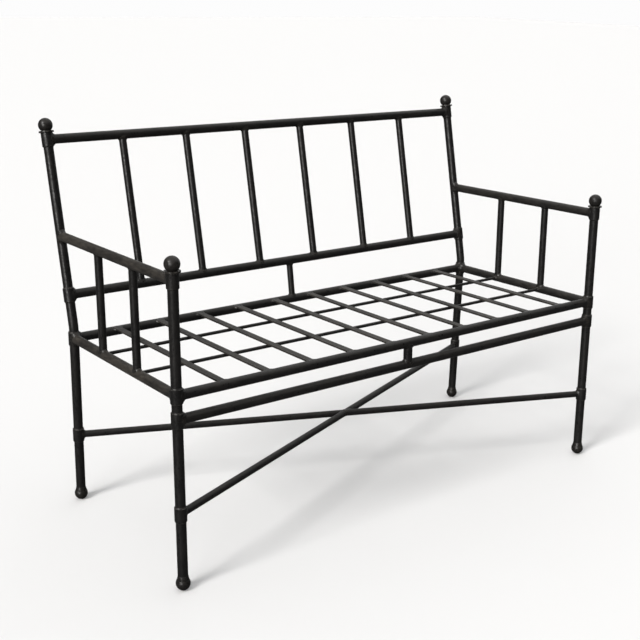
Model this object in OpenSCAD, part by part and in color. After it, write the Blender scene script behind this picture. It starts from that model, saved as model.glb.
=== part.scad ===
// Two-seat settee frame of welded round steel tube: four posts with ball finials and ball feet,
// a spindle back leaning rearward, open spindle arms, a slatted seat and a crossed leg brace.
// The frame is welded square and its rear legs are cut shorter, so all of it leans back a little.
// Heights are measured along the front posts, from the floor under them.
// Origin: on the floor, at the centre of the outer box. +Y points to the back and +Z up.
// Left and right are as seen from in front, so +X is right.

/* [Frame] */
// Distance between the axes of the left and right posts
post_spacing_x = 1300; // [1100:10:1400]
// Distance between the axes of the front and rear posts, at seat height
post_spacing_y = 512; // [470:2:560]
// Backward slope of the seat, and so of the whole frame
seat_rake = 1.9; // [0:0.1:3]
// Height of the axes of the four seat rails
seat_z = 453; // [440:1:453]
// Height of the axes of the two arm rails
arm_z = 702; // [640:1:740]
// Height of the axis of the lower front rail
low_rail_z = 399; // [360:1:400]
// Height of the leg brace at the front posts
brace_front_z = 182; // [120:1:260]
// Height of the leg brace at the rear posts
brace_rear_z = 196; // [120:1:260]

/* [Back] */
// Angle between the back and the front posts
back_lean = 11; // [6:0.1:14]
// Angle between the rear legs and the front posts
leg_splay = 2.2; // [0:0.1:4]
// Height at which the leg line and the back line of a rear post cross
bend_z = 481; // [481:1:500]
// Radius of the bend in a rear post
bend_r = 80; // [60:5:80]
// Height of the axis of the lower back rail
low_back_z = 560; // [540:1:620]
// Height of the axis of the top rail
top_z = 930; // [850:1:980]
// Number of back spindles
back_spindle_count = 6; // [4:1:8]
// Distance between neighbouring back spindles
back_spindle_pitch = 181.2; // [100:0.1:185]

/* [Tubes] */
// Diameter of the posts
post_d = 23.5; // [20:0.5:24]
// Diameter of the rails
rail_d = 23; // [22:0.5:23]
// Diameter of the back and arm spindles
spindle_d = 19; // [14:1:19]
// Diameter of the short strut under the back
back_strut_d = 17; // [12:1:18]
// Distance of that back strut to the right of the middle
back_strut_right = 5; // [-50:1:50]
// Diameter of the short strut under the seat front
front_strut_d = 22; // [16:1:22]
// Distance of that front strut to the left of the middle
front_strut_left = 10; // [-50:1:50]
// Diameter of the leg brace rods
brace_d = 17.5; // [12:0.5:18]

/* [Seat] */
// Number of seat slats
slat_count = 10; // [6:1:11]
// Distance between neighbouring slats
slat_pitch = 118.8; // [80:0.1:119]
// Width of a slat
slat_w = 18; // [15:0.5:20]
// Thickness of a slat
slat_t = 4.5; // [3:0.5:5]
// Height of the middle of a slat above the seat rail axes
slat_rise = 7; // [6:0.1:7]
// Diameter of the two long rods under the slats
seat_rod_d = 8.5; // [6:0.5:10]

/* [Arms] */
// Distance of the front spindles and front long rod in front of the middle of the seat
arm_spindle_front = 79; // [60:1:110]
// Distance of the rear spindles and rear long rod behind the middle of the seat
arm_spindle_rear = 92; // [60:1:110]

/* [Fittings] */
// Outer diameter of the sleeves on the posts
sleeve_d = 28; // [26.5:0.5:29]
// Length of a sleeve
sleeve_l = 34; // [30:1:36]
// Chamfer on both ends of a sleeve
sleeve_chamfer = 0.8; // [0.4:0.1:1]
// Diameter of a finial ball
finial_d = 34.5; // [30:0.5:38]
// Diameter of the disc under a finial ball
disc_d = 36; // [30:0.5:40]
// Thickness of that disc
disc_t = 3.5; // [2:0.5:4]
// Diameter of a ball foot
foot_d = 33; // [28:0.5:36]
// Diameter of the flat that a ball foot stands on
foot_flat_d = 9; // [6:0.5:12]

/* [Hidden] */
$fn = 64;
// A coped end stops this far short of the tube it is welded to
weld_gap = 0.05;
// Length by which the straight tube runs over each end of a bend
bend_grip = 0.5;
// Overrun of a cutting shape
over = 1;
// Depth to which the inner corner of two seat rails is mitred
mitre = 40;

SIDES = [["left", -1], ["right", 1]];
slats = [for (i = [1:slat_count]) i];
spindles = [for (i = [1:back_spindle_count]) i];

// The rear post axis, as distances behind the front post axis
bend_back = post_spacing_y - (bend_z - seat_z) * tan(leg_splay);
function rear_back(z) =
    z < bend_z ? bend_back + (bend_z - z) * tan(leg_splay)
               : bend_back + (z - bend_z) * tan(back_lean);

// A post ends in a sleeve, a disc and a ball, measured along it from the axis of its highest rail
post_top = sleeve_l / 2;
finial_sink = 3.5;
finial_up = post_top + disc_t + finial_d / 2 - finial_sink;

// A ball foot is cut flat below, and above where it is as wide as the post
foot_z = sqrt(pow(foot_d / 2, 2) - pow(foot_flat_d / 2, 2));
foot_up = sqrt(pow(foot_d / 2, 2) - pow(post_d / 2, 2));

// Depth of the outer box, from the front feet to the rear finials, with the frame leaning back
high_ball_z = top_z + finial_up * cos(back_lean);
high_ball_back = rear_back(high_ball_z) * cos(seat_rake) + (high_ball_z - foot_z) * sin(seat_rake);
front_y = -(high_ball_back + finial_d / 2 - foot_d / 2) / 2;
mid_y = front_y + post_spacing_y / 2;
rear_y = front_y + post_spacing_y;
post_x = post_spacing_x / 2;

// Height at which the centre of a rear foot lies, so that it stands level with a front foot
rear_foot_z = (foot_z + (bend_back + bend_z * tan(leg_splay)) * tan(seat_rake))
    / (1 + tan(leg_splay) * tan(seat_rake));

function rear_axis(z) = [front_y + rear_back(z), z];
low_dir = [-sin(leg_splay), cos(leg_splay)];
high_dir = [sin(back_lean), cos(back_lean)];
bend_half = bend_r * tan((leg_splay + back_lean) / 2);
bend_at = rear_axis(bend_z);
top_at = rear_axis(top_z);
rear_foot_at = rear_axis(rear_foot_z);
rear_tops = top_at + high_dir * post_top;

function side_x(side) = side * post_x;
function at(x, yz) = [x, yz[0], yz[1]];
function front_at(side, z) = [side_x(side), front_y, z];
function rear_at(side, z) = at(side_x(side), rear_axis(z));
function spindle_x(i) = (i - (back_spindle_count + 1) / 2) * back_spindle_pitch;
function slat_x(i) = (i - (slat_count + 1) / 2) * slat_pitch;

// Leans a piece of the square frame back about the centres of the front feet
module leaning() {
    color("dimgray")
        translate([0, front_y, foot_z])
            rotate([-seat_rake, 0, 0])
                translate([0, -front_y, -foot_z])
                    children();
}

// A straight round bar from a to b
module bar(a, b, d) {
    v = b - a;
    translate(a)
        rotate([0, acos(v[2] / norm(v)), atan2(v[1], v[0])])
            cylinder(d = d, h = norm(v));
}

// The shape that copes a bar end to a tube of diameter d whose axis passes through a and b
module cope(a, b, d) {
    bar(a, b, d + 2 * weld_gap);
}

// Stands a shape built up +Z along a rear leg or along the back
module at_lean(origin, angle) {
    translate(origin)
        rotate([-angle, 0, 0])
            children();
}

// One sleeve, centred on its rail axis
module sleeve() {
    bore = post_d / 2 + weld_gap;
    r = sleeve_d / 2;
    half = sleeve_l / 2;
    rotate_extrude()
        polygon([
            [bore, -half],
            [r - sleeve_chamfer, -half],
            [r, -half + sleeve_chamfer],
            [r, half - sleeve_chamfer],
            [r - sleeve_chamfer, half],
            [bore, half]
        ]);
}

// The outer surface of one sleeve, as a cutting shape
module sleeve_cut() {
    cylinder(d = sleeve_d + 2 * weld_gap, h = sleeve_l, center = true);
}

module front_post(side) {
    leaning()
        bar(front_at(side, foot_z + foot_up), front_at(side, arm_z + post_top), post_d);
}

// A rear post: two straight lengths that run a little way over the ends of a slimmer bend
module rear_post(side) {
    start = bend_at - low_dir * bend_half;
    end = bend_at + high_dir * bend_half;
    hub = start + [low_dir[1], -low_dir[0]] * bend_r;
    foot_top = rear_foot_at + low_dir * foot_up;
    x = side_x(side);
    leaning()
        union() {
            bar(at(x, foot_top), at(x, start + low_dir * bend_grip), post_d);
            translate(at(x, hub))
                rotate([90, 0, 90])
                    rotate([0, 0, 180 - back_lean])
                        rotate_extrude(angle = leg_splay + back_lean)
                            translate([bend_r, 0])
                                circle(d = post_d - 2 * weld_gap);
            bar(at(x, end - high_dir * bend_grip), at(x, rear_tops), post_d);
        }
}

// A ball cut flat where it stands and where its post lands on it
module ball_foot(origin, angle) {
    block = 4 * foot_d;
    color("dimgray")
        difference() {
            leaning()
                difference() {
                    translate(origin)
                        sphere(d = foot_d);
                    at_lean(origin, angle)
                        translate([0, 0, foot_up + foot_d / 2])
                            cube([foot_d, foot_d, foot_d], center = true);
                }
            translate([origin[0], origin[1], -block / 2])
                cube([block, block, block], center = true);
        }
}

module front_foot(side) {
    ball_foot(front_at(side, foot_z), 0);
}

module rear_foot(side) {
    ball_foot(at(side_x(side), rear_foot_at), -leg_splay);
}

module finial_disc(origin, angle) {
    leaning()
        at_lean(origin, angle)
            cylinder(d = disc_d, h = disc_t);
}

// A ball cut flat where it sits on its disc
module finial_ball(origin, angle) {
    leaning()
        at_lean(origin, angle)
            difference() {
                translate([0, 0, disc_t + finial_d / 2 - finial_sink])
                    sphere(d = finial_d);
                translate([0, 0, disc_t - finial_d / 2])
                    cube([finial_d, finial_d, finial_d], center = true);
            }
}

module front_finial_disc(side) {
    finial_disc(front_at(side, arm_z + post_top), 0);
}

module rear_finial_disc(side) {
    finial_disc(at(side_x(side), rear_tops), back_lean);
}

module front_finial_ball(side) {
    finial_ball(front_at(side, arm_z + post_top), 0);
}

module rear_finial_ball(side) {
    finial_ball(at(side_x(side), rear_tops), back_lean);
}

// Places a child at each sleeve of a front post
module at_front_sleeves(side) {
    for (z = [arm_z, seat_z, low_rail_z, brace_front_z])
        translate(front_at(side, z))
            children();
}

// Places a child at each sleeve of a rear post, along the tube it grips
module at_rear_sleeves(side) {
    for (z = [seat_z, brace_rear_z])
        at_lean(rear_at(side, z), -leg_splay)
            children();
    for (z = [low_back_z, top_z])
        at_lean(rear_at(side, z), back_lean)
            children();
}

module front_sleeves(side) {
    leaning()
        at_front_sleeves(side)
            sleeve();
}

module rear_sleeves(side) {
    leaning()
        at_rear_sleeves(side)
            sleeve();
}

// An arm rail: its front end meets a sleeve, and its rear end is welded straight to the post
module arm_rail(side) {
    leaning()
        difference() {
            bar(front_at(side, arm_z), rear_at(side, arm_z), rail_d);
            translate(front_at(side, arm_z))
                sleeve_cut();
            cope(rear_at(side, bend_z + bend_half), rear_at(side, top_z), post_d);
        }
}

module arm_spindle(side, y) {
    x = side_x(side);
    leaning()
        difference() {
            bar([x, y, seat_z], [x, y, arm_z], spindle_d);
            cope([x, front_y, seat_z], [x, rear_y, seat_z], rail_d);
            cope([x, front_y, arm_z], [x, rear_y + post_spacing_y, arm_z], rail_d);
        }
}

// A rail across the width, between the sleeves of two front posts
module front_rail(z) {
    difference() {
        bar(front_at(-1, z), front_at(1, z), rail_d);
        for (side = [-1, 1])
            translate(front_at(side, z))
                sleeve_cut();
    }
}

// A rail across the width, between the sleeves of two rear posts
module rear_rail(z, angle) {
    difference() {
        bar(rear_at(-1, z), rear_at(1, z), rail_d);
        for (side = [-1, 1])
            at_lean(rear_at(side, z), angle)
                sleeve_cut();
    }
}

// The room that a seat rail across the width has between its two mitred inner corners
module cross_rail_room(y, inward) {
    out = rail_d;
    translate([0, y, seat_z - rail_d])
        linear_extrude(height = 2 * rail_d)
            polygon([
                [-post_x, -inward * out],
                [-post_x, 0],
                [mitre - post_x, inward * mitre],
                [post_x - mitre, inward * mitre],
                [post_x, 0],
                [post_x, -inward * out]
            ]);
}

// The room that a seat rail along the depth has between its two mitred inner corners
module side_rail_room(side) {
    out = rail_d;
    translate([side_x(side), 0, seat_z - rail_d])
        linear_extrude(height = 2 * rail_d)
            polygon([
                [side * out, front_y],
                [0, front_y],
                [-side * mitre, front_y + mitre],
                [-side * mitre, rear_y - mitre],
                [0, rear_y],
                [side * out, rear_y]
            ]);
}

module seat_front_rail() {
    leaning()
        intersection() {
            front_rail(seat_z);
            cross_rail_room(front_y, 1);
        }
}

module seat_rear_rail() {
    leaning()
        intersection() {
            rear_rail(seat_z, -leg_splay);
            cross_rail_room(rear_y, -1);
        }
}

module seat_side_rail(side) {
    leaning()
        intersection() {
            difference() {
                bar(front_at(side, seat_z), rear_at(side, seat_z), rail_d);
                translate(front_at(side, seat_z))
                    sleeve_cut();
                at_lean(rear_at(side, seat_z), -leg_splay)
                    sleeve_cut();
            }
            side_rail_room(side);
        }
}

module lower_front_rail() {
    leaning()
        front_rail(low_rail_z);
}

module front_strut() {
    x = -front_strut_left;
    leaning()
        difference() {
            bar([x, front_y, low_rail_z], [x, front_y, seat_z], front_strut_d);
            cope(front_at(-1, low_rail_z), front_at(1, low_rail_z), rail_d);
            cope(front_at(-1, seat_z), front_at(1, seat_z), rail_d);
        }
}

module top_rail() {
    leaning()
        rear_rail(top_z, back_lean);
}

module lower_back_rail() {
    leaning()
        rear_rail(low_back_z, back_lean);
}

module back_spindle(i) {
    x = spindle_x(i);
    leaning()
        difference() {
            bar(at(x, rear_axis(low_back_z)), at(x, top_at), spindle_d);
            cope(rear_at(-1, low_back_z), rear_at(1, low_back_z), rail_d);
            cope(rear_at(-1, top_z), rear_at(1, top_z), rail_d);
        }
}

module back_strut() {
    x = back_strut_right;
    leaning()
        difference() {
            bar([x, rear_y, seat_z], at(x, rear_axis(low_back_z)), back_strut_d);
            cope(rear_at(-1, seat_z), rear_at(1, seat_z), rail_d);
            cope(rear_at(-1, low_back_z), rear_at(1, low_back_z), rail_d);
        }
}

// A flat bar from the front seat rail to the rear seat rail, coped into their inner sides
module seat_slat(i) {
    leaning()
        difference() {
            translate([slat_x(i), mid_y, seat_z + slat_rise])
                cube([slat_w, post_spacing_y, slat_t], center = true);
            cope(front_at(-1, seat_z), front_at(1, seat_z), rail_d);
            cope(rear_at(-1, seat_z), rear_at(1, seat_z), rail_d);
            for (y = [front_y, rear_y])
                translate([slat_x(i), y, seat_z + slat_rise])
                    cube([slat_w + over, rail_d / 2, slat_t + over], center = true);
        }
}

// A long rod under all the slats, from one side rail to the other
module seat_rod(y) {
    z = seat_z + slat_rise - (slat_t + seat_rod_d) / 2;
    leaning()
        difference() {
            bar([-post_x, y, z], [post_x, y, z], seat_rod_d);
            for (side = [-1, 1])
                cope(front_at(side, seat_z), rear_at(side, seat_z), rail_d);
        }
}

// The whole diagonal of the leg brace
module brace_rod() {
    leaning()
        difference() {
            bar(front_at(-1, brace_front_z), rear_at(1, brace_rear_z), brace_d);
            translate(front_at(-1, brace_front_z))
                sleeve_cut();
            at_lean(rear_at(1, brace_rear_z), -leg_splay)
                sleeve_cut();
        }
}

// The other diagonal is two halves, each welded to the side of the whole one
module brace_half(end) {
    centre = (front_at(-1, brace_front_z) + rear_at(1, brace_rear_z)) / 2;
    leaning()
        difference() {
            bar(end, centre, brace_d);
            cope(front_at(-1, brace_front_z), rear_at(1, brace_rear_z), brace_d + 4 * weld_gap);
            translate(front_at(1, brace_front_z))
                sleeve_cut();
            at_lean(rear_at(-1, brace_rear_z), -leg_splay)
                sleeve_cut();
        }
}

for (s = SIDES) {
    front_post(s[1]);
    rear_post(s[1]);
    front_foot(s[1]);
    rear_foot(s[1]);
    front_finial_disc(s[1]);
    rear_finial_disc(s[1]);
    front_finial_ball(s[1]);
    rear_finial_ball(s[1]);
    front_sleeves(s[1]);
    rear_sleeves(s[1]);
    arm_rail(s[1]);
    seat_side_rail(s[1]);
    arm_spindle(s[1], mid_y - arm_spindle_front);
    arm_spindle(s[1], mid_y + arm_spindle_rear);
}
top_rail();
lower_back_rail();
back_strut();
for (i = spindles)
    back_spindle(i);
seat_front_rail();
seat_rear_rail();
lower_front_rail();
front_strut();
for (i = slats)
    seat_slat(i);
seat_rod(mid_y - arm_spindle_front);  // seat_rod_front
seat_rod(mid_y + arm_spindle_rear);  // seat_rod_rear
brace_rod();
brace_half(front_at(1, brace_front_z));  // brace_half_front
brace_half(rear_at(-1, brace_rear_z));  // brace_half_rear
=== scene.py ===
import math

import bmesh
import bpy
from mathutils import Matrix, Vector, noise


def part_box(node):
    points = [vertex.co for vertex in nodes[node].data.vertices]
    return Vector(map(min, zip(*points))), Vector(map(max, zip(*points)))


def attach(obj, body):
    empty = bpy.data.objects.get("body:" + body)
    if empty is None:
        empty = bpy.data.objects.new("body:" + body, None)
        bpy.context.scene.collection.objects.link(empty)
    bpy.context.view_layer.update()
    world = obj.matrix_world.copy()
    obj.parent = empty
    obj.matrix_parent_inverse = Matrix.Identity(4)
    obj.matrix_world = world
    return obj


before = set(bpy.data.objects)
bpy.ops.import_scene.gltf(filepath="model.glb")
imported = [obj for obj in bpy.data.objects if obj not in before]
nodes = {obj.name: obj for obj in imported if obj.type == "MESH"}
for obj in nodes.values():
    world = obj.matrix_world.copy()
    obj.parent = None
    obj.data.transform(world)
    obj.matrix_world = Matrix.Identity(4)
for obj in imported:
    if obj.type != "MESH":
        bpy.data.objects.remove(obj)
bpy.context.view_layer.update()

# The bare frame of a two-seat settee, painted black. The CAD nodes are its tubes, bars and balls, and this
# script adds the weld metal that joins them, the paint, the studio floor, the lights and the camera.
# Lengths are in metres and angles in degrees. An azimuth is turned from straight in front, and minus is left.

# ---------------------------------------------------------------- camera
# The lens and the sensor are in millimetres
CAMERA_AT = (-1.676, -2.1663, 1.2917)
CAMERA_AZIMUTH = -36.86
CAMERA_ELEVATION = 17.52
CAMERA_ROLL = 1.374
CAMERA_LENS = 60.74
SENSOR = 36.0

# ---------------------------------------------------------------- light
KEY_AZIMUTH = -80
KEY_ELEVATION = 39
KEY_SPREAD = 17
KEY_STRENGTH = 2.45
KEY_COLOR = (1.0, 0.985, 0.965)
WINDOW_AZIMUTH = -60
WINDOW_ELEVATION = 10
WINDOW_SPREAD = 28
WINDOW_STRENGTH = 2.4
FILL_AZIMUTH = 115
FILL_ELEVATION = 22
FILL_SPREAD = 80
FILL_STRENGTH = 0.9
CEILING_AZIMUTH = 0
CEILING_ELEVATION = 90
CEILING_SPREAD = 110
CEILING_STRENGTH = 1.75
ROOM_STRENGTH = 0.045
BACKDROP_STRENGTH = 0.98

# ---------------------------------------------------------------- weld metal
# A bead climbs its leg up the bar, and lies its land along what the bar is welded to
RAIL_LEG = 0.0060
RAIL_LAND = 0.0050
SPINDLE_LEG = 0.0036
SLAT_LEG = 0.0055
SLAT_REAR_LEG = 0.0039
ROD_LEG = 0.0030
SLEEVE_LEG = 0.0021
SLEEVE_LAND = 0.0011
DISC_LEG = 0.0016
FOOT_LEG = 0.0070
FOOT_LAND = 0.0035
# Faces across a bead, the length of a face along it, and the fewest faces round a bar
BEAD_STEPS = 7
BEAD_PITCH = 0.0008
BEAD_LEAST = 40
# How far the hollow of a bead is drawn from its corner, as a share of the two legs
BEAD_FULLNESS = 0.30
# Height of the lumps on a bead, and how deep its back is sunk into the metal
BEAD_CROWN = 0.00035
BEAD_DEPTH = 0.0012
# Share by which a bead grows wider and narrower along its way, and the size of those waves and of its lumps
BEAD_WANDER = 0.22
WANDER_SIZE = 1 / 140
RIPPLE_SIZE = 0.0035
# Tilt of the side that a bead's land is looked for on, where a bar meets a tube nearly along it
LAND_TILT = 0.2
# Two outward directions that all but cancel have a sum shorter than this
OPPOSED = 0.1
# Distance from which a line is cast at a target, and the gap below which two points are one
FAR = 0.2
MERGE = 1e-6

# ---------------------------------------------------------------- softened edges
# Radius of a slat's edges under its beads, widths of the bevels, faces across one, and the turn in degrees
# above which an edge gets one
SLAT_EDGE = 0.0006
SLAT_SOFT = 0.0007
DISC_SOFT = 0.0011
SOFT_STEPS = 3
SOFT_ANGLE = 40

# ---------------------------------------------------------------- paint
PAINT = (0.0054, 0.0054, 0.0056)
# Brown-grey laid over the black: partly paint rubbed by hands and cushions, partly painted sheen
RUBBED_AND_SHEEN = (0.045, 0.0397, 0.0333)
DUST_COLOR = (0.085, 0.076, 0.064)
WORN_COLOR = (0.24, 0.226, 0.205)
DUST_LEVEL = 0.25
WEAR_LEVEL = 0.65
COAT_SPECULAR = 0.25
# How far from an edge it wears, and how finely that is looked for
EDGE_REACH = 0.0015
EDGE_SAMPLES = 6
# Sizes of the blotches in the paint
STREAK_SIZE = 0.005
PATCH_SIZE = 0.07
SPECK_SIZE = 0.0022
GRAIN_SIZE = 0.0048
CHIP_SIZE = 0.004
DENT_SIZE = 0.011
PEEL_SIZE = 0.0018
# Heights of its relief
DENT_HEIGHT = 0.00045
GRAIN_HEIGHT = 0.00042
PEEL_HEIGHT = 0.00011
# The spans of noise, or of a face's turn, over which each mark comes in
EDGE_RANGE = (0.985, 0.90)
CHIP_RANGE = (0.42, 0.62)
PATCH_RANGE = (0.38, 0.60)
STREAK_RANGE = (0.30, 0.72)
UPWARD_RANGE = (0.25, 0.95)
SPECK_RANGE = (0.40, 0.72)
GLOSS_RANGE = (0.30, 0.70)
GRAIN_RANGE = (0.35, 0.65)
# The least and the most of it that a patch, a streak and a speck let through
PATCH_RUB_AND_SHEEN = (0.45, 1.0)
STREAK_RUB_AND_SHEEN = (0.35, 1.0)
SPECK_DUST = (0.15, 0.55)
# How much rougher or smoother streaks, grain, dust and wear make it
STREAK_GLOSSES = 0.07
STREAK_ROUGHENS = 0.09
GRAIN_ROUGHENS = 0.07
DUST_ROUGHENS = 0.12
WEAR_SMOOTHS = 0.10

# ---------------------------------------------------------------- floor
# How bright it looks to the camera and how bright it is to the frame, and the length of its sides
FLOOR_WHITE = 0.735
FLOOR_BOUNCE = 0.1
FLOOR_SIZE = 60.0

SIDES = {"left": -1, "right": 1}
X, Z = Vector((1, 0, 0)), Vector((0, 0, 1))


# ---------------------------------------------------------------- what the frame says
def middle(node):
    """The middle of a CAD node's box."""
    low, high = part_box(node)
    return (low + high) / 2


def span(node, axis):
    """How far a CAD node's box reaches along X, Y or Z."""
    low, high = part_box(node)
    return high[axis] - low[axis]


def thickness(node, way):
    """How far a CAD node reaches along a direction."""
    reach = [vert.co.dot(way) for vert in nodes[node].data.vertices]
    return max(reach) - min(reach)


def solid_middles(node):
    """The middle of each separate solid of a CAD node, from the highest to the lowest."""
    bm = bmesh.new()
    bm.from_mesh(nodes[node].data)
    bmesh.ops.remove_doubles(bm, verts=bm.verts, dist=MERGE)
    found = []
    unseen = set(bm.verts)
    while unseen:
        waiting = [unseen.pop()]
        points = []
        while waiting:
            vert = waiting.pop()
            points.append(vert.co.copy())
            for edge in vert.link_edges:
                other = edge.other_vert(vert)
                if other in unseen:
                    unseen.remove(other)
                    waiting.append(other)
        low = Vector([min(p[i] for p in points) for i in range(3)])
        high = Vector([max(p[i] for p in points) for i in range(3)])
        found.append((low + high) / 2)
    bm.free()
    return sorted(found, key=lambda p: -p.z)


# The sleeves of a front post and of a rear post, from the highest down
ARM, SEAT, LOW, BRACE = range(4)
TOP, LOW_BACK, REAR_SEAT, REAR_BRACE = range(4)
front_sleeves = {side: solid_middles("front_sleeves_" + side) for side in SIDES}
rear_sleeves = {side: solid_middles("rear_sleeves_" + side) for side in SIDES}

left_front, left_rear = front_sleeves["left"], rear_sleeves["left"]
seat_way = (left_rear[REAR_SEAT] - left_front[SEAT]).normalized()
up_way = (left_front[ARM] - left_front[BRACE]).normalized()
leg_way = (left_rear[REAR_SEAT] - left_rear[REAR_BRACE]).normalized()
back_way = (left_rear[TOP] - left_rear[LOW_BACK]).normalized()

post_r = span("front_post_left", 0) / 2
sleeve_r = span("front_sleeves_left", 0) / 2
rail_r = span("seat_side_rail_left", 0) / 2
# A leaning sleeve's box ends at its rim, which stands a little higher than the middle of its end
sleeve_top_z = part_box("front_sleeves_left")[1].z
sleeve_half = (sleeve_top_z - left_front[ARM].z - sleeve_r * abs(up_way.y)) / up_way.z


# ---------------------------------------------------------------- surfaces that a weld lands on
class Tube:
    """A round tube of any length, or one that starts at a point."""

    def __init__(self, through, along, radius, starts=False):
        self.through = through
        self.along = along.normalized()
        self.radius = radius
        self.starts = starts

    def radial(self, v):
        """The part of v that points straight away from the axis."""
        return v - v.dot(self.along) * self.along

    def meet(self, start, way):
        """How far start is from the tube along way, and how surely the line hits it: below zero it misses."""
        offset, heading = self.radial(start - self.through), self.radial(way)
        a, b = heading.dot(heading), offset.dot(heading)
        sureness = b * b - a * (offset.dot(offset) - self.radius ** 2)
        reach = (-b - math.sqrt(max(sureness, 0))) / a
        if self.starts and (start + reach * way - self.through).dot(self.along) < 0:
            sureness = -1.0
        return reach, sureness

    def normal(self, point):
        """The way that the surface faces near a point."""
        return self.radial(point - self.through).normalized()

    def snap(self, point):
        """The point of the surface that is nearest to a point."""
        return point - self.radial(point - self.through) + self.radius * self.normal(point)


class Ball:
    """A ball, which answers meet, normal and snap as a tube does."""

    def __init__(self, centre, radius):
        self.centre = centre
        self.radius = radius

    def meet(self, start, way):
        offset = start - self.centre
        b = offset.dot(way)
        sureness = b * b - offset.dot(offset) + self.radius ** 2
        return -b - math.sqrt(max(sureness, 0)), sureness

    def normal(self, point):
        return (point - self.centre).normalized()

    def snap(self, point):
        return self.centre + self.radius * self.normal(point)


class Flat:
    """A flat face, which answers them too, and which every line meets."""

    def __init__(self, through, facing):
        self.through = through
        self.facing = facing.normalized()

    def meet(self, start, way):
        return (self.through - start).dot(self.facing) / way.dot(self.facing), 1.0

    def normal(self, point):
        return self.facing

    def snap(self, point):
        return point - (point - self.through).dot(self.facing) * self.facing


# ---------------------------------------------------------------- outlines of bars
def round_outline(way, radius, steps):
    """Offsets and outward directions round a bar that runs along way."""
    across = way.orthogonal().normalized()
    other = way.cross(across).normalized()
    outline = []
    for i in range(steps):
        turn = math.tau * i / steps
        out = math.cos(turn) * across + math.sin(turn) * other
        outline.append((radius * out, out))
    return outline


def flat_outline(across, thick, width, height, corner):
    """Offsets and outward directions round a flat bar whose edges are rounded to the radius corner."""
    def facing(quarters):
        turn = math.pi / 2 * quarters
        return math.cos(turn) * across + math.sin(turn) * thick

    outline = []
    a, b = width / 2 - corner, height / 2 - corner
    corners = [(a, b), (-a, b), (-a, -b), (a, -b)]
    for quarter, (u, v) in enumerate(corners):
        for i in range(SOFT_STEPS + 1):
            out = facing(quarter + i / SOFT_STEPS)
            outline.append((u * across + v * thick + corner * out, out))
        next_u, next_v = corners[(quarter + 1) % len(corners)]
        run = math.hypot(next_u - u, next_v - v)
        steps = max(1, round(run / BEAD_PITCH))
        out = facing(quarter + 1)
        for i in range(1, steps):
            t = i / steps
            place = (u + t * (next_u - u)) * across + (v + t * (next_v - v)) * thick
            outline.append((place + corner * out, out))
    return outline


# ---------------------------------------------------------------- weld metal
class Weld:
    """The weld metal of one group of joints, gathered in one mesh."""

    def __init__(self, name):
        self.name = name
        self.mesh = bmesh.new()

    def ring(self, sections):
        """Closes a loop of sections into the skin of one bead."""
        rings = [[self.mesh.verts.new(p) for p in section] for section in sections]
        for a, b in zip(rings, rings[1:] + rings[:1]):
            for i in range(len(a)):
                j = (i + 1) % len(a)
                self.mesh.faces.new((a[i], a[j], b[j], b[i]))

    def finish(self):
        """Turns the gathered beads into a piece that rides on the frame."""
        bmesh.ops.recalc_face_normals(self.mesh, faces=self.mesh.faces)
        mesh = bpy.data.meshes.new(self.name)
        self.mesh.to_mesh(mesh)
        self.mesh.free()
        mesh.shade_smooth()
        piece = bpy.data.objects.new(self.name, mesh)
        bpy.context.scene.collection.objects.link(piece)
        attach(piece, "root")
        return piece


def first_hit(start, way, targets):
    """The target that a line reaches first, or else comes nearest to, and the point where it does."""
    meets = [(target, *target.meet(start, way)) for target in targets]
    sure = [(target, reach) for target, reach, sureness in meets if sureness >= 0]
    if sure:
        target, reach = min(sure, key=lambda meet: meet[1])
    else:
        target, reach, _ = max(meets, key=lambda meet: meet[2])
    return target, start + reach * way


def bead_section(corner, run, out, way, target, leg, land):
    """One slice of a bead: its hollow face, from the toe on the bar to the toe on the target, and its sunk
    back. The corner between bar and target lies along run there, and the bar faces out."""
    facing = target.normal(corner)
    slide = facing.cross(run).normalized()
    if slide.dot(out + LAND_TILT * way) < 0:
        slide.negate()
    wander = 1 + BEAD_WANDER * noise.noise(corner / WANDER_SIZE)
    ripple = noise.noise(corner / RIPPLE_SIZE)
    # Where the leg grows, the land shrinks
    bar_toe = corner - leg * wander * way
    land_toe = target.snap(corner + land * (2 - wander) * slide)
    out_of_corner = (out + facing).normalized() if (out + facing).length > OPPOSED else out
    pull = corner + BEAD_FULLNESS * ((bar_toe - corner) + (land_toe - corner))
    section = []
    for step in range(BEAD_STEPS + 1):
        t = step / BEAD_STEPS
        point = (1 - t) ** 2 * bar_toe + 2 * t * (1 - t) * pull + t ** 2 * land_toe
        crown = BEAD_CROWN * (1 + ripple) * math.sin(math.pi * t)
        section.append(point + crown * out_of_corner)
    section.append(land_toe - BEAD_DEPTH * target.normal(land_toe))
    section.append(corner - BEAD_DEPTH * out_of_corner)
    section.append(bar_toe - BEAD_DEPTH * out)
    return section


def fillet(weld, through, way, outline, targets, leg, land=None):
    """A bead round the end of a bar that passes through a point and runs along way into the targets. It
    climbs leg up the bar and lies land along the target, or leg again where no land is given."""
    hits = []
    for offset, out in outline:
        target, corner = first_hit(through + offset - FAR * way, way, targets)
        hits.append((corner, out, target))
    sections = []
    for i, (corner, out, target) in enumerate(hits):
        run = hits[(i + 1) % len(hits)][0] - hits[i - 1][0]
        sections.append(bead_section(corner, run, out, way, target, leg, land or leg))
    weld.ring(sections)


def bar_fillet(weld, through, way, radius, targets, leg, land=None):
    """A bead round the end of a round bar."""
    way = way.normalized()
    steps = max(BEAD_LEAST, round(math.tau * radius / BEAD_PITCH))
    fillet(weld, through, way, round_outline(way, radius, steps), targets, leg, land)


def sleeve_tube(centre, along):
    """The outside of a sleeve, as a tube to weld to."""
    return Tube(centre, along, sleeve_r)


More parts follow.
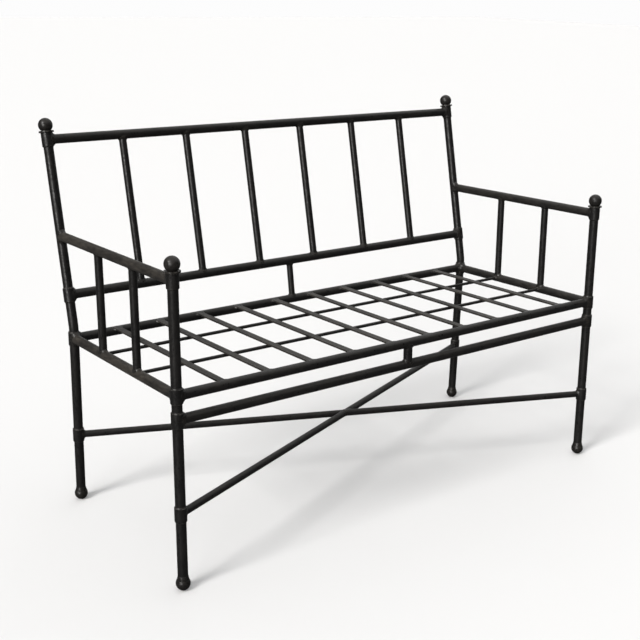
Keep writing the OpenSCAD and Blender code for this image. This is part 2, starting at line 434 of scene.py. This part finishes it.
def weld_post(name, post_sleeves, foot):
    """The beads along one post: at the open ends of its sleeves, over its foot and under its finial. Each
    sleeve is its middle, the way it lies and whether a finial caps it."""
    weld = Weld(name)
    for centre, along, capped in post_sleeves:
        for end in (1, -1):
            if capped and end == 1:
                continue
            way = -end * along
            face = centre + end * sleeve_half * along
            bar_fillet(weld, face, way, post_r, [Flat(face, -way)], SLEEVE_LEG, SLEEVE_LAND)
    top, along, _ = post_sleeves[0]
    disc_face = top + sleeve_half * along
    bar_fillet(weld, disc_face, along, sleeve_r, [Flat(disc_face, -along)], DISC_LEG)
    weld_foot(weld, foot, post_sleeves[-1][1])
    return weld


def weld_foot(weld, foot, along):
    """The cone of weld metal between a post and its ball foot. The ball's middle is worked out from the flat
    that it stands on."""
    low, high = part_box(foot)
    radius = (high.x - low.x) / 2
    centre = (low + high) / 2
    standing = [vert.co.xy for vert in nodes[foot].data.vertices if vert.co.z < MERGE]
    flat_r = max((point - centre.xy).length for point in standing)
    centre.z = math.sqrt(radius ** 2 - flat_r ** 2)
    bar_fillet(weld, centre, -along, post_r, [Ball(centre, radius)], FOOT_LEG, FOOT_LAND)


def along_x(node):
    """A CAD node that lies along X, as a tube to weld to."""
    return Tube(middle(node), X, span(node, 2) / 2)


# ---------------------------------------------------------------- the welds of the frame
pieces = []
for side in SIDES:
    front_rows = [(centre, up_way, i == ARM) for i, centre in enumerate(front_sleeves[side])]
    rear_rows = []
    for i, centre in enumerate(rear_sleeves[side]):
        rear_rows.append((centre, back_way if i in (TOP, LOW_BACK) else leg_way, i == TOP))
    pieces.append(weld_post("front_post_welds_" + side, front_rows, "front_foot_" + side).finish())
    pieces.append(weld_post("rear_post_welds_" + side, rear_rows, "rear_foot_" + side).finish())

seat_front, seat_rear = along_x("seat_front_rail"), along_x("seat_rear_rail")
low_front, low_back = along_x("lower_front_rail"), along_x("lower_back_rail")
top = along_x("top_rail")
side_rails = {side: Tube(front_sleeves[side][SEAT], seat_way, rail_r) for side in SIDES}
arm_rails = {side: Tube(front_sleeves[side][ARM], seat_way, rail_r) for side in SIDES}

for side, sign in SIDES.items():
    front, rear = front_sleeves[side], rear_sleeves[side]
    outward = sign * X
    weld = Weld("rail_welds_" + side)
    # Each rail end: its sleeve's middle, the way the sleeve lies, the way into it, and the rail beside it
    ends = [
        (front[SEAT], up_way, outward, [Tube(front[SEAT], seat_way, rail_r, starts=True)]),
        (front[LOW], up_way, outward, []),
        (rear[REAR_SEAT], leg_way, outward, [Tube(rear[REAR_SEAT], -seat_way, rail_r, starts=True)]),
        (rear[LOW_BACK], back_way, outward, []),
        (rear[TOP], back_way, outward, []),
        (front[SEAT], up_way, -seat_way, [Tube(front[SEAT], -outward, rail_r, starts=True)]),
        (front[ARM], up_way, -seat_way, []),
        (rear[REAR_SEAT], leg_way, seat_way, [Tube(rear[REAR_SEAT], -outward, rail_r, starts=True)]),
    ]
    for centre, along, way, others in ends:
        bar_fillet(weld, centre, way, rail_r, [sleeve_tube(centre, along)] + others, RAIL_LEG, RAIL_LAND)
    rear_stile = Tube(rear[TOP], back_way, post_r)
    arm_end = front[ARM] + rear_stile.meet(front[ARM], seat_way)[0] * seat_way
    bar_fillet(weld, arm_end, seat_way, rail_r, [rear_stile], RAIL_LEG)
    pieces.append(weld.finish())

    weld = Weld("arm_spindle_welds_" + side)
    for node in ("front_arm_spindle_" + side, "rear_arm_spindle_" + side):
        radius = span(node, 0) / 2
        bar_fillet(weld, middle(node), -up_way, radius, [side_rails[side]], SPINDLE_LEG)
        bar_fillet(weld, middle(node), up_way, radius, [arm_rails[side]], SPINDLE_LEG)
    for node in ("seat_rod_front", "seat_rod_rear"):
        bar_fillet(weld, middle(node), outward, span(node, 2) / 2, [side_rails[side]], ROD_LEG)
    pieces.append(weld.finish())

weld = Weld("back_spindle_welds")
strut_way = (low_back.through - seat_rear.through).normalized()
uprights = [(node, back_way, low_back, top) for node in sorted(nodes) if node.startswith("back_spindle_")]
uprights.append(("back_strut", strut_way, seat_rear, low_back))
for node, way, lower, upper in uprights:
    radius = span(node, 0) / 2
    bar_fillet(weld, middle(node), -way, radius, [lower], SPINDLE_LEG)
    bar_fillet(weld, middle(node), way, radius, [upper], SPINDLE_LEG)
pieces.append(weld.finish())

weld = Weld("front_strut_welds")
for way, rail in ((-up_way, low_front), (up_way, seat_front)):
    bar_fillet(weld, middle("front_strut"), way, span("front_strut", 0) / 2, [rail], SPINDLE_LEG)
pieces.append(weld.finish())

weld = Weld("brace_welds")
rod_way = (rear_sleeves["right"][REAR_BRACE] - front_sleeves["left"][BRACE]).normalized()
cross_way = (rear_sleeves["left"][REAR_BRACE] - front_sleeves["right"][BRACE]).normalized()
brace_middle = (front_sleeves["left"][BRACE] + rear_sleeves["right"][REAR_BRACE]) / 2
brace_r = thickness("brace_rod", rod_way.cross(Z).normalized()) / 2
rod = Tube(brace_middle, rod_way, brace_r)
for side, way in (("left", -rod_way), ("right", -cross_way)):
    centre = front_sleeves[side][BRACE]
    bar_fillet(weld, centre, way, brace_r, [sleeve_tube(centre, up_way)], SPINDLE_LEG)
for side, way in (("right", rod_way), ("left", cross_way)):
    centre = rear_sleeves[side][REAR_BRACE]
    bar_fillet(weld, centre, way, brace_r, [sleeve_tube(centre, leg_way)], SPINDLE_LEG)
for way in (cross_way, -cross_way):
    bar_fillet(weld, brace_middle, way, brace_r, [rod], SPINDLE_LEG)
pieces.append(weld.finish())

weld = Weld("slat_welds")
slats = sorted(node for node in nodes if node.startswith("seat_slat_"))
slat_normal = X.cross(seat_way).normalized()
for node in slats:
    slat_outline = flat_outline(X, slat_normal, span(node, 0), thickness(node, slat_normal), SLAT_EDGE)
    fillet(weld, middle(node), -seat_way, slat_outline, [seat_front], SLAT_LEG)
    fillet(weld, middle(node), seat_way, slat_outline, [seat_rear], SLAT_REAR_LEG)
pieces.append(weld.finish())


# ---------------------------------------------------------------- shader helpers
# The colour sockets of a Mix node
MIX_A, MIX_B, MIX_RESULT = 6, 7, 2


class Shader:
    """A material being built: nodes are added by type and wired by socket name."""

    def __init__(self, name):
        self.material = bpy.data.materials.new(name)
        self.material.use_nodes = True
        self.tree = self.material.node_tree
        self.tree.nodes.clear()
        self.out = self.add("ShaderNodeOutputMaterial")

    def add(self, kind, inputs=None, **settings):
        """A new node, with its sockets fed and its settings made."""
        node = self.tree.nodes.new(kind)
        for key, value in settings.items():
            setattr(node, key, value)
        for key, value in (inputs or {}).items():
            self.feed(node.inputs[key], value)
        return node

    def feed(self, socket, value):
        """Wires a socket to another one, or sets it."""
        if isinstance(value, bpy.types.NodeSocket):
            self.tree.links.new(value, socket)
        else:
            socket.default_value = value

    def noise(self, vector, size, detail=2.0, roughness=0.5):
        """Cloudy noise from 0 to 1 whose blotches measure about size."""
        inputs = {"Vector": vector, "Scale": 1 / size, "Detail": detail, "Roughness": roughness}
        return self.add("ShaderNodeTexNoise", inputs).outputs["Fac"]

    def ramp(self, value, source, target=(0.0, 1.0)):
        """Carries value smoothly from the range source over to the range target."""
        low, high = source
        start, end = target
        inputs = {"Value": value, "From Min": low, "From Max": high, "To Min": start, "To Max": end}
        return self.add("ShaderNodeMapRange", inputs, interpolation_type="SMOOTHSTEP").outputs["Result"]

    def calc(self, operation, a, b):
        """A sum, difference or product, kept between 0 and 1."""
        return self.add("ShaderNodeMath", {0: a, 1: b}, operation=operation, use_clamp=True).outputs[0]

    def blend(self, amount, a, b):
        """The colour a, turned into b by amount."""
        node = self.add("ShaderNodeMix", data_type="RGBA")
        self.feed(node.inputs["Factor"], amount)
        for index, value in ((MIX_A, a), (MIX_B, b)):
            fixed = not isinstance(value, bpy.types.NodeSocket)
            self.feed(node.inputs[index], (*value, 1.0) if fixed else value)
        return node.outputs[MIX_RESULT]

    def bump(self, height, distance, strength, normal=None):
        """Relief that is distance high where height is 1, over any relief already there."""
        inputs = {"Height": height, "Distance": distance, "Strength": strength}
        if normal is not None:
            inputs["Normal"] = normal
        return self.add("ShaderNodeBump", inputs).outputs["Normal"]


# ---------------------------------------------------------------- paint
def coat_material(name, stretch, gloss, rub_and_sheen_level, peel):
    """Satin black powder coat: an orange-peel skin with long soft streaks, rubbed browner and lighter in
    patches, partly patina worn by hands and cushions and partly painted sheen, dusty on top, and worn
    to a lighter grey along its edges. stretch draws the streaks out, gloss is the base roughness,
    rub_and_sheen_level the share of that rubbed colour with its painted sheen and peel the strength of the
    relief."""
    s = Shader(name)
    place = s.add("ShaderNodeTexCoord").outputs["Object"]
    drawn = s.add("ShaderNodeMapping", {"Vector": place, "Scale": stretch}).outputs["Vector"]
    surface = s.add("ShaderNodeNewGeometry")
    facing = s.add("ShaderNodeSeparateXYZ", {"Vector": surface.outputs["Normal"]}).outputs["Z"]

    streaks = s.noise(drawn, STREAK_SIZE, detail=4, roughness=0.6)
    patches = s.noise(place, PATCH_SIZE, detail=3)
    specks = s.noise(place, SPECK_SIZE, detail=2)
    grain = s.noise(place, GRAIN_SIZE, detail=3)
    chips = s.noise(place, CHIP_SIZE, detail=3)
    dents = s.noise(drawn, DENT_SIZE, detail=2)
    skin = s.noise(place, PEEL_SIZE, detail=1)

    soft = s.add("ShaderNodeBevel", {"Radius": EDGE_REACH}, samples=EDGE_SAMPLES).outputs["Normal"]
    turn = s.add("ShaderNodeVectorMath", {0: soft, 1: surface.outputs["Normal"]}, operation="DOT_PRODUCT")
    worn = s.calc("MULTIPLY", s.ramp(turn.outputs["Value"], EDGE_RANGE), s.ramp(chips, CHIP_RANGE))
    # Rubbed colour in patches and streaks: partly worn patina, partly painted sheen
    rub_and_sheen = s.ramp(patches, PATCH_RANGE, PATCH_RUB_AND_SHEEN)
    rub_and_sheen = s.calc("MULTIPLY", rub_and_sheen, s.ramp(streaks, STREAK_RANGE, STREAK_RUB_AND_SHEEN))
    rub_and_sheen = s.calc("MULTIPLY", rub_and_sheen, rub_and_sheen_level)
    dust = s.calc("MULTIPLY", s.ramp(facing, UPWARD_RANGE), s.ramp(specks, SPECK_RANGE, SPECK_DUST))

    color = s.blend(rub_and_sheen, PAINT, RUBBED_AND_SHEEN)
    color = s.blend(s.calc("MULTIPLY", dust, DUST_LEVEL), color, DUST_COLOR)
    color = s.blend(s.calc("MULTIPLY", worn, WEAR_LEVEL), color, WORN_COLOR)

    roughness = s.ramp(streaks, GLOSS_RANGE, (gloss - STREAK_GLOSSES, gloss + STREAK_ROUGHENS))
    roughness = s.calc("ADD", roughness, s.ramp(grain, GRAIN_RANGE, (-GRAIN_ROUGHENS, GRAIN_ROUGHENS)))
    roughness = s.calc("ADD", roughness, s.calc("MULTIPLY", dust, DUST_ROUGHENS))
    roughness = s.calc("SUBTRACT", roughness, s.calc("MULTIPLY", worn, WEAR_SMOOTHS))

    normal = s.bump(dents, DENT_HEIGHT, peel)
    normal = s.bump(grain, GRAIN_HEIGHT, peel, normal)
    normal = s.bump(skin, PEEL_HEIGHT, peel, normal)
    bsdf = s.add("ShaderNodeBsdfPrincipled", {
        "Base Color": color,
        "Roughness": roughness,
        "Normal": normal,
        "Specular IOR Level": COAT_SPECULAR,
    })
    s.feed(s.out.inputs["Surface"], bsdf.outputs["BSDF"])
    return s.material


# Squeezing the noise to a quarter along one way draws its streaks out four times as long that way
ALONG_X, ALONG_Y, ALONG_Z, ROUND = (0.25, 1, 1), (1, 0.25, 1), (1, 1, 0.25), (1, 1, 1)
coats = {
    "posts": coat_material("coat_posts", ALONG_Z, gloss=0.36, rub_and_sheen_level=0.15, peel=0.9),
    "rails": coat_material("coat_rails", ALONG_X, gloss=0.38, rub_and_sheen_level=0.2, peel=0.9),
    # Left arm and side rail: over twice the rubbed colour of the right, painted sheen from the left key
    "left_arm": coat_material("coat_left_arm_painted_sheen", ALONG_Y, gloss=0.40, rub_and_sheen_level=0.9, peel=0.9),
    "right_arm": coat_material("coat_right_arm", ALONG_Y, gloss=0.38, rub_and_sheen_level=0.4, peel=0.9),
    "slats": coat_material("coat_slats", ALONG_Y, gloss=0.46, rub_and_sheen_level=0.8, peel=0.7),
    "balls": coat_material("coat_balls", ROUND, gloss=0.34, rub_and_sheen_level=0.35, peel=0.25),
    "welds": coat_material("coat_welds", ROUND, gloss=0.30, rub_and_sheen_level=0.4, peel=0.6),
}


def coat_for(name):
    """The coat of a CAD node, by what it is and which way it runs."""
    if "ball" in name or "foot" in name or "disc" in name:
        return coats["balls"]
    if "arm_rail" in name or "side_rail" in name:
        # The left arm and side rail take the coat with more painted sheen
        return coats["left_arm" if "left" in name else "right_arm"]
    if "slat" in name:
        return coats["slats"]
    if "rail" in name or "brace" in name or "seat_rod" in name:
        return coats["rails"]
    return coats["posts"]


for name, node in nodes.items():
    node.data.materials.clear()
    node.data.materials.append(coat_for(name))
for piece in pieces:
    piece.data.materials.append(coats["welds"])


# ---------------------------------------------------------------- softened edges of the flat-cut nodes
def soften(node, width):
    """Rounds the sharp edges of a CAD node without touching its mesh."""
    join = node.modifiers.new("weld", "WELD")
    join.merge_threshold = MERGE
    bevel = node.modifiers.new("bevel", "BEVEL")
    bevel.width = width
    bevel.segments = SOFT_STEPS
    bevel.limit_method = "ANGLE"
    bevel.angle_limit = math.radians(SOFT_ANGLE)
    bevel.harden_normals = False


for name in slats:
    soften(nodes[name], SLAT_SOFT)
for name in nodes:
    if "disc" in name:
        soften(nodes[name], DISC_SOFT)


# ---------------------------------------------------------------- floor
def floor_material():
    """Paper that looks pale but throws little light back at the frame."""
    s = Shader("floor_paper")
    seen = s.add("ShaderNodeBsdfDiffuse", {"Color": (FLOOR_WHITE, FLOOR_WHITE, FLOOR_WHITE, 1)})
    thrown = s.add("ShaderNodeBsdfDiffuse", {"Color": (FLOOR_BOUNCE, FLOOR_BOUNCE, FLOOR_BOUNCE, 1)})
    path = s.add("ShaderNodeLightPath")
    mix = s.add("ShaderNodeMixShader", {
        0: path.outputs["Is Camera Ray"],
        1: thrown.outputs["BSDF"],
        2: seen.outputs["BSDF"],
    })
    s.feed(s.out.inputs["Surface"], mix.outputs[0])
    return s.material


floor_mesh = bpy.data.meshes.new("floor")
half = FLOOR_SIZE / 2
floor_corners = [(-half, -half, 0), (half, -half, 0), (half, half, 0), (-half, half, 0)]
floor_mesh.from_pydata(floor_corners, [], [range(len(floor_corners))])
floor = bpy.data.objects.new("floor", floor_mesh)
bpy.context.scene.collection.objects.link(floor)
floor_mesh.materials.append(floor_material())


# ---------------------------------------------------------------- lights
def direction(azimuth, elevation):
    """The way from the frame towards an azimuth and an elevation."""
    az, el = math.radians(azimuth), math.radians(elevation)
    return Vector((math.sin(az) * math.cos(el), -math.cos(az) * math.cos(el), math.sin(el)))


def softbox(name, azimuth, elevation, spread, strength, color=(1, 1, 1)):
    """A broad light that is so far off that it falls the same everywhere."""
    lamp = bpy.data.lights.new(name, "SUN")
    lamp.angle = math.radians(spread)
    lamp.energy = strength
    lamp.color = color
    lamp_object = bpy.data.objects.new(name, lamp)
    bpy.context.scene.collection.objects.link(lamp_object)
    lamp_object.rotation_euler = direction(azimuth, elevation).to_track_quat("Z", "Y").to_euler()


softbox("key", KEY_AZIMUTH, KEY_ELEVATION, KEY_SPREAD, KEY_STRENGTH, KEY_COLOR)
softbox("window", WINDOW_AZIMUTH, WINDOW_ELEVATION, WINDOW_SPREAD, WINDOW_STRENGTH, KEY_COLOR)
softbox("fill", FILL_AZIMUTH, FILL_ELEVATION, FILL_SPREAD, FILL_STRENGTH)
softbox("ceiling", CEILING_AZIMUTH, CEILING_ELEVATION, CEILING_SPREAD, CEILING_STRENGTH)

# The camera sees the bright backdrop, and the frame is lit by a dim room
world = bpy.data.worlds.new("studio")
bpy.context.scene.world = world
world.use_nodes = True
tree = world.node_tree
room = tree.nodes["Background"]
room.inputs["Color"].default_value = (1, 1, 1, 1)
room.inputs["Strength"].default_value = ROOM_STRENGTH
backdrop = tree.nodes.new("ShaderNodeBackground")
backdrop.inputs["Color"].default_value = (1, 1, 1, 1)
backdrop.inputs["Strength"].default_value = BACKDROP_STRENGTH
path = tree.nodes.new("ShaderNodeLightPath")
choose = tree.nodes.new("ShaderNodeMixShader")
tree.links.new(path.outputs["Is Camera Ray"], choose.inputs[0])
tree.links.new(room.outputs[0], choose.inputs[1])
tree.links.new(backdrop.outputs[0], choose.inputs[2])
tree.links.new(choose.outputs[0], tree.nodes["World Output"].inputs["Surface"])

# ---------------------------------------------------------------- camera
roll = math.radians(CAMERA_ROLL)
back = direction(CAMERA_AZIMUTH, CAMERA_ELEVATION)
right = (-back).cross(Z).normalized()
up = right.cross(-back)
rolled_right = math.cos(roll) * right + math.sin(roll) * up
rolled_up = -math.sin(roll) * right + math.cos(roll) * up
camera_data = bpy.data.cameras.new("camera")
camera_data.sensor_width = SENSOR
camera_data.lens = CAMERA_LENS
camera = bpy.data.objects.new("camera", camera_data)
bpy.context.scene.collection.objects.link(camera)
camera_turn = Matrix((rolled_right, rolled_up, back)).transposed().to_4x4()
camera.matrix_world = Matrix.Translation(CAMERA_AT) @ camera_turn
bpy.context.scene.camera = camera
bpy.context.scene.view_settings.view_transform = "Standard"
